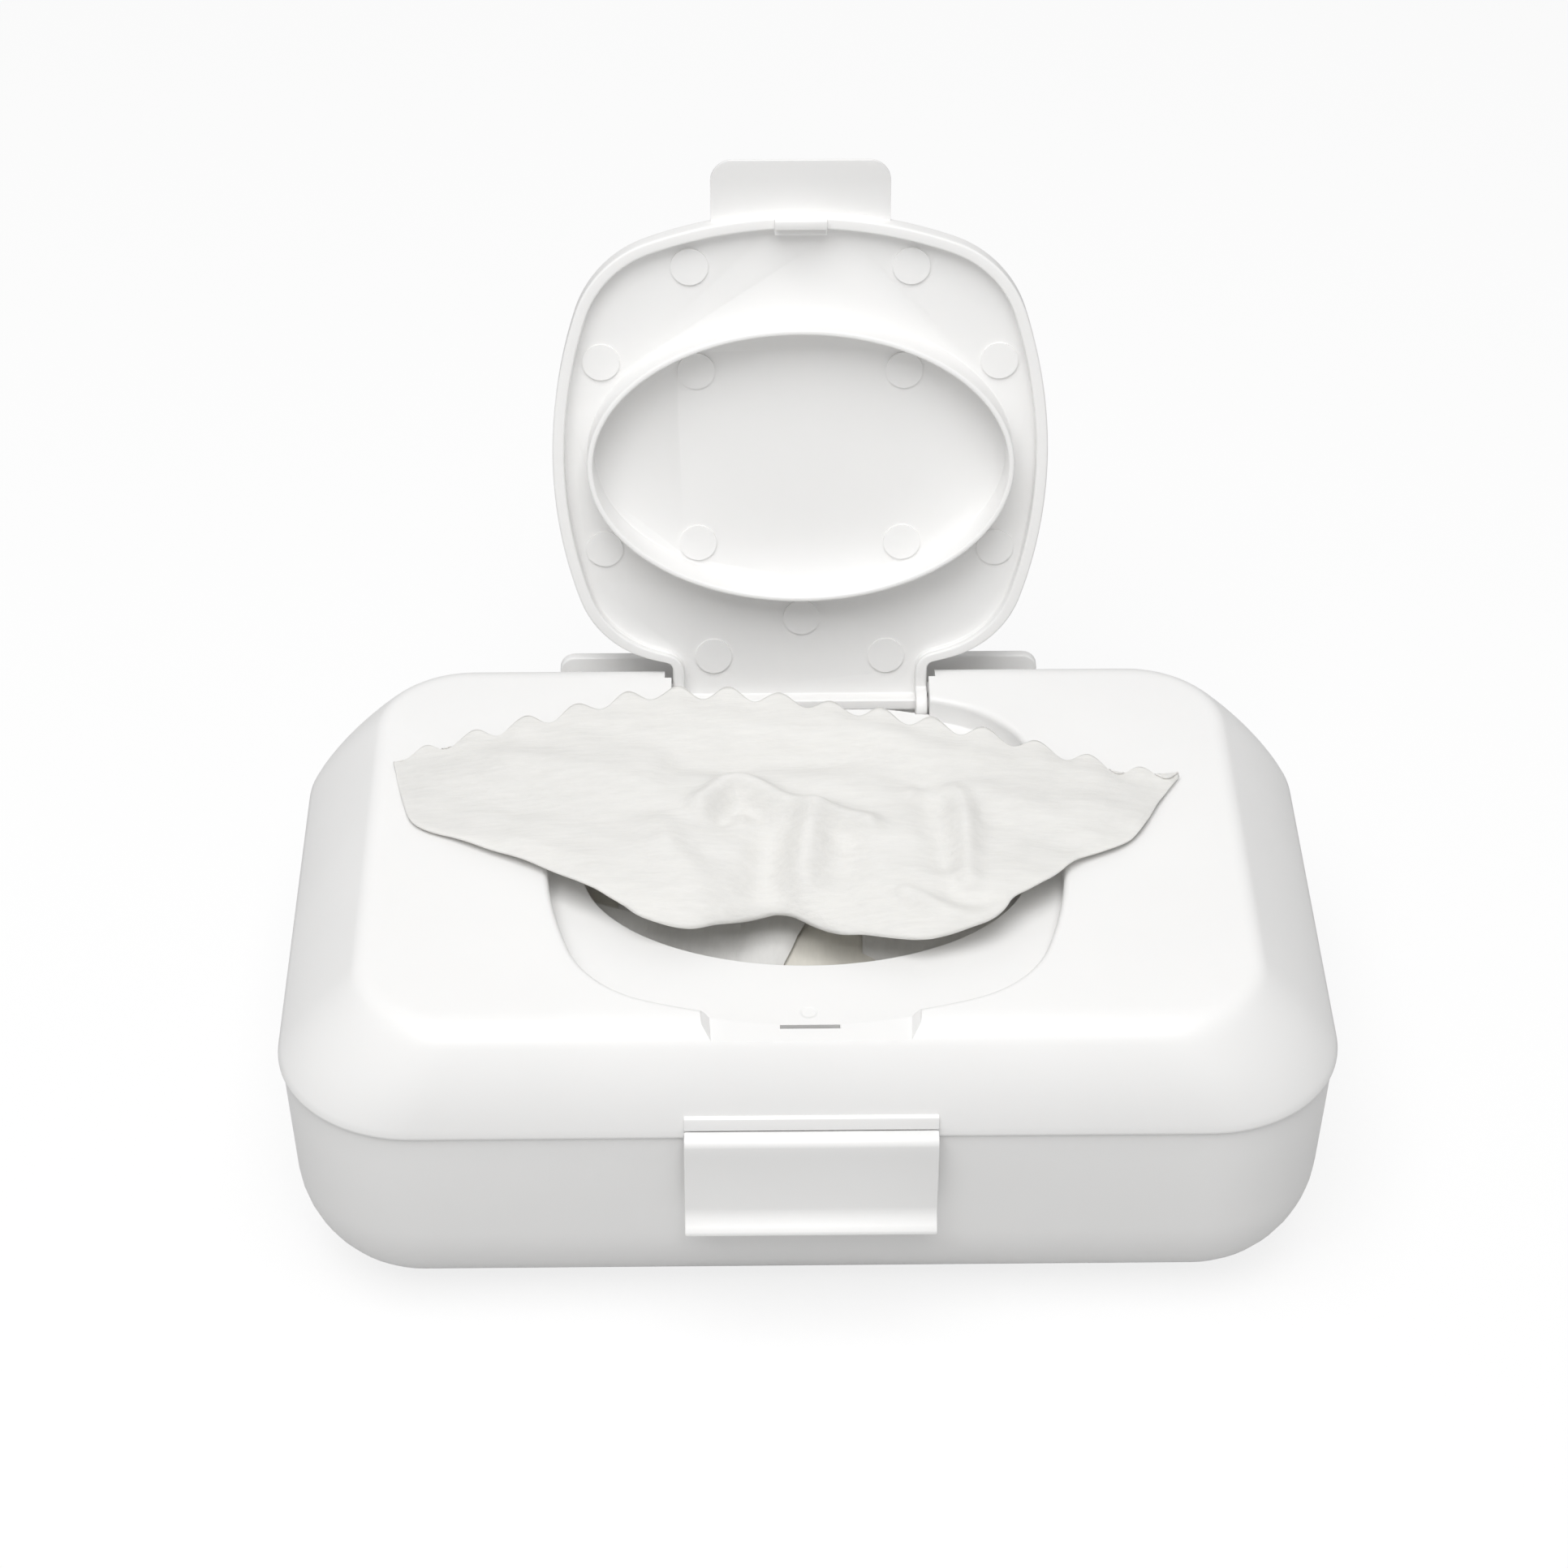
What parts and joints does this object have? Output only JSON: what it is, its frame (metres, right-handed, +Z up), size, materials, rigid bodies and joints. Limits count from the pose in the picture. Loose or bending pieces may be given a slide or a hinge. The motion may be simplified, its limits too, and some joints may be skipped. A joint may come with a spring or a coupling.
{
  "type": "wet wipes dispenser",
  "caption": "Low moulded box for wet wipes: tub, hinged cover with front clip, flip lid over an oval opening, with a wipe pulled through.",
  "frame": {"origin": "middle of the tub's flat underside", "axes": "+Z up, +X to the right along the box's length, -Y towards the front clip, +Y to the rear hinge"},
  "size_m": [0.19, 0.143, 0.164],
  "materials": {
    "plastic": "satin white moulded polypropylene",
    "wet_cloth": "damp nonwoven",
    "stacked_cloth": "damp nonwoven, folded"
  },
  "bodies": {
    "base": {"tub": "plastic", "wipe_stack": "stacked_cloth"},
    "cover": {"top_cover": "plastic", "pulled_wipe": "wet_cloth"},
    "lid": {"flip_lid": "plastic"},
    "clip": {"front_clip": "plastic"}
  },
  "joints": [
    {"name": "cover_hinge", "type": "hinge", "parent": "base", "child": "cover", "pos_m": [0, 0.06235, 0.0589], "axis": [-1, 0, 0], "range_deg": [0, 100]},
    {"name": "flip_lid_hinge", "type": "hinge", "parent": "cover", "child": "lid", "pos_m": [0, 0.0476, 0.0595], "axis": [1, 0, 0], "range_deg": [0, 103.7], "deforming": ["pulled_wipe"]},
    {"name": "clip_hinge", "type": "hinge", "parent": "cover", "child": "clip", "pos_m": [0, -0.06137, 0.0482], "axis": [-1, 0, 0], "range_deg": [0, 100]}
  ]
}
